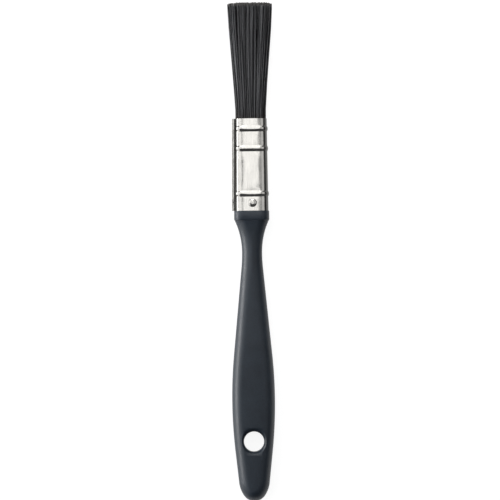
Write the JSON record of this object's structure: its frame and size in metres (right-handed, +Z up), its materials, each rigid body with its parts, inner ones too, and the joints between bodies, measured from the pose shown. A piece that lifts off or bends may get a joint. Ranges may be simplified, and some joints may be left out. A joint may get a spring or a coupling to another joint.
{
  "type": "paint brush",
  "caption": "Narrow flat brush with a fanned black tuft, a beaded sheet ferrule with a side seam, and a waisted moulded handle with a hanging hole.",
  "frame": {"origin": "bottom centre of the whole brush as it lies on its back on a table", "axes": "+Y along the brush from the hanging end to the bristle tips, +Z up out of the front face, +X to the right, away from the ferrule's seam"},
  "size_m": [0.018, 0.1988, 0.0096],
  "materials": {
    "handle_plastic": "matt, finely eroded mould surface, dark slate grey",
    "plated_sheet": "bright nickel-plated steel sheet, slightly uneven from rolling",
    "rivet_steel": "plated steel, hammered head",
    "spacer_wood": "plain sawn strip",
    "resin": "set casting resin, dark amber",
    "filament": "black synthetic filament, soft sheen"
  },
  "bodies": {
    "root": {"handle": "handle_plastic", "ferrule": "plated_sheet", "rivet_front": "rivet_steel", "rivet_back": "rivet_steel", "spacer": "spacer_wood", "resin_block": "resin", "bristles_front": "filament", "bristles_back": "filament"}
  },
  "joints": []
}
